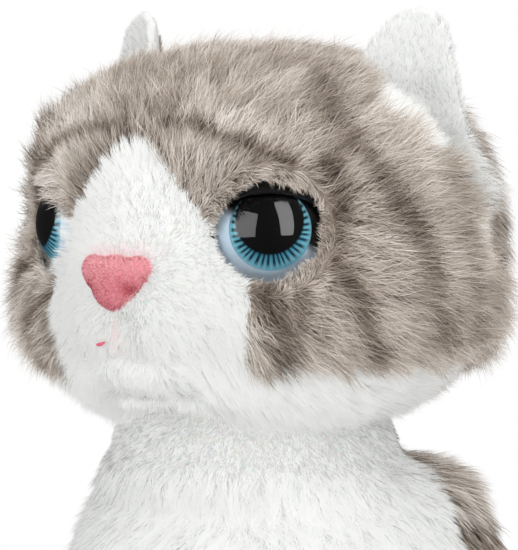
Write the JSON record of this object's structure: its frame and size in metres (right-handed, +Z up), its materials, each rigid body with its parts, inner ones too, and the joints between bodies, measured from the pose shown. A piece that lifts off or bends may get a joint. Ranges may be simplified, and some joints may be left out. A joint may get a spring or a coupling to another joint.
{
  "type": "interactive plush pet",
  "caption": "Seated plush kitten toy with a turning and nodding head, blinking eyes, an opening mouth, a wagging tail, touch buttons and a battery box in its base.",
  "frame": {"origin": "flat underside of the base panel, straight below the neck's turning axis", "axes": "+Z up along the neck's turning axis, -Y towards the kitten's face, +X towards the kitten's own left"},
  "size_m": [0.1721, 0.243, 0.2785],
  "materials": {
    "white_plush": "short white faux fur",
    "tabby_plush": "long tabby faux fur, grey-brown with darker stripes and pale tips",
    "pink_flock": "flocked pink",
    "base_cloth": "woven cloth",
    "shell_plastic": "moulded, light grain",
    "gear_plastic": "acetal, natural",
    "black_plastic": "polished black",
    "eye_blue": "printed iris under clear resin",
    "clear_lens": "clear polished plastic",
    "steel": "plated",
    "motor_steel": "drawn can",
    "copper": "enamelled copper winding",
    "circuit": "green board with parts",
    "cell": "plain wrap"
  },
  "bodies": {
    "torso": {"belly_cover": "white_plush", "front_leg_left": "white_plush", "front_leg_right": "white_plush", "back_cover": "tabby_plush", "hind_leg_left": "tabby_plush", "hind_leg_right": "tabby_plush", "base_panel": "base_cloth", "chassis_front": "shell_plastic", "chassis_rear": "shell_plastic", "deck_plate": "shell_plastic", "base_plate": "shell_plastic", "battery_box": "shell_plastic", "switch_body": "black_plastic", "speaker": "black_plastic", "turn_motor": "motor_steel", "tail_motor": "motor_steel", "circuit_board": "circuit", "battery_1": "cell", "battery_2": "cell"},
    "neck_turn": {"neck_yoke": "gear_plastic", "neck_gear": "gear_plastic", "nod_axle": "steel"},
    "head": {"skull_front": "shell_plastic", "skull_rear": "shell_plastic", "head_post": "gear_plastic", "muzzle_cover": "white_plush", "mask_cover": "tabby_plush", "cheek_band": "white_plush", "head_back_cover": "tabby_plush", "nose": "pink_flock", "ear_left": "tabby_plush", "ear_right": "tabby_plush", "ear_lining_left": "white_plush", "ear_lining_right": "white_plush", "eyeball_left": "eye_blue", "eyeball_right": "eye_blue", "eye_lens_left": "clear_lens", "eye_lens_right": "clear_lens", "eye_bridge": "shell_plastic", "blink_coil": "copper", "jaw_coil": "copper", "jaw_pin": "steel", "crown_switch": "circuit", "skull_screw_left": "steel", "skull_screw_right": "steel"},
    "lid_left": {"eyelid_left": "black_plastic"},
    "lid_right": {"eyelid_right": "black_plastic"},
    "blink_slider": {"blink_slider": "gear_plastic"},
    "jaw": {"jaw_lever": "gear_plastic", "chin_cover": "white_plush", "tongue": "pink_flock"},
    "crown_button": {"crown_button": "gear_plastic"},
    "turn_pinion": {"turn_pinion": "gear_plastic"},
    "tail": {"tail_arm": "gear_plastic", "tail_cover": "tabby_plush"},
    "tail_pinion": {"tail_pinion": "gear_plastic"},
    "battery_door": {"battery_door": "shell_plastic", "door_screw": "steel"},
    "power_switch": {"power_switch": "black_plastic"},
    "back_button": {"back_button": "gear_plastic"}
  },
  "joints": [
    {"name": "head_turn", "type": "hinge", "parent": "torso", "child": "neck_turn", "pos_m": [0, 0, 0.128], "axis": [0, 0, 1], "range_deg": [-25, 25]},
    {"name": "head_nod", "type": "hinge", "parent": "neck_turn", "child": "head", "pos_m": [0, 0, 0.128], "axis": [1, 0, 0], "range_deg": [-10, 12], "stiffness_Nm_per_rad": 3},
    {"name": "blink_left", "type": "hinge", "parent": "head", "child": "lid_left", "pos_m": [0.0356, -0.0382, 0.21], "axis": [0.788, 0.6157, 0], "range_deg": [0, 58]},
    {"name": "blink_right", "type": "hinge", "parent": "head", "child": "lid_right", "pos_m": [-0.0356, -0.0382, 0.21], "axis": [0.788, -0.6157, 0], "range_deg": [0, 58]},
    {"name": "blink_push", "type": "slide", "parent": "head", "child": "blink_slider", "axis": [0, 0, 1], "range_m": [0, 0.0107], "stiffness_N_per_m": 20},
    {"name": "jaw_open", "type": "hinge", "parent": "head", "child": "jaw", "pos_m": [0, -0.041, 0.171], "axis": [1, 0, 0], "range_deg": [0, 13], "stiffness_Nm_per_rad": 0.05},
    {"name": "crown_press", "type": "slide", "parent": "head", "child": "crown_button", "axis": [0, 0, -1], "range_m": [0, 0.0012], "stiffness_N_per_m": 300},
    {"name": "turn_pinion_spin", "type": "hinge", "parent": "torso", "child": "turn_pinion", "pos_m": [0, 0.0241, 0.1106], "axis": [0, 0, 1], "range_deg": [-80, 80]},
    {"name": "tail_wag", "type": "hinge", "parent": "torso", "child": "tail", "pos_m": [0, 0.081, 0.026], "axis": [0, 0, 1], "range_deg": [-20, 20]},
    {"name": "tail_pinion_spin", "type": "hinge", "parent": "torso", "child": "tail_pinion", "pos_m": [0, 0.0479, 0.0442], "axis": [0, 0, 1], "range_deg": [-116, 116]},
    {"name": "battery_door_open", "type": "hinge", "parent": "torso", "child": "battery_door", "pos_m": [0, 0.049, 0.0017], "axis": [1, 0, 0], "range_deg": [0, 80], "stiffness_Nm_per_rad": 0.3},
    {"name": "power_switch_slide", "type": "slide", "parent": "torso", "child": "power_switch", "axis": [1, 0, 0], "range_m": [-0.003, 0.003]},
    {"name": "back_press", "type": "slide", "parent": "torso", "child": "back_button", "axis": [0, -1, 0], "range_m": [0, 0.0012], "stiffness_N_per_m": 300}
  ],
  "couplings": [
    {"joint": "blink_left", "follows": "blink_push", "rad_per_m": 94.3},
    {"joint": "blink_right", "follows": "blink_push", "rad_per_m": 94.3},
    {"joint": "turn_pinion_spin", "follows": "head_turn", "ratio": -3},
    {"joint": "tail_pinion_spin", "follows": "tail_wag", "ratio": -5.6}
  ]
}
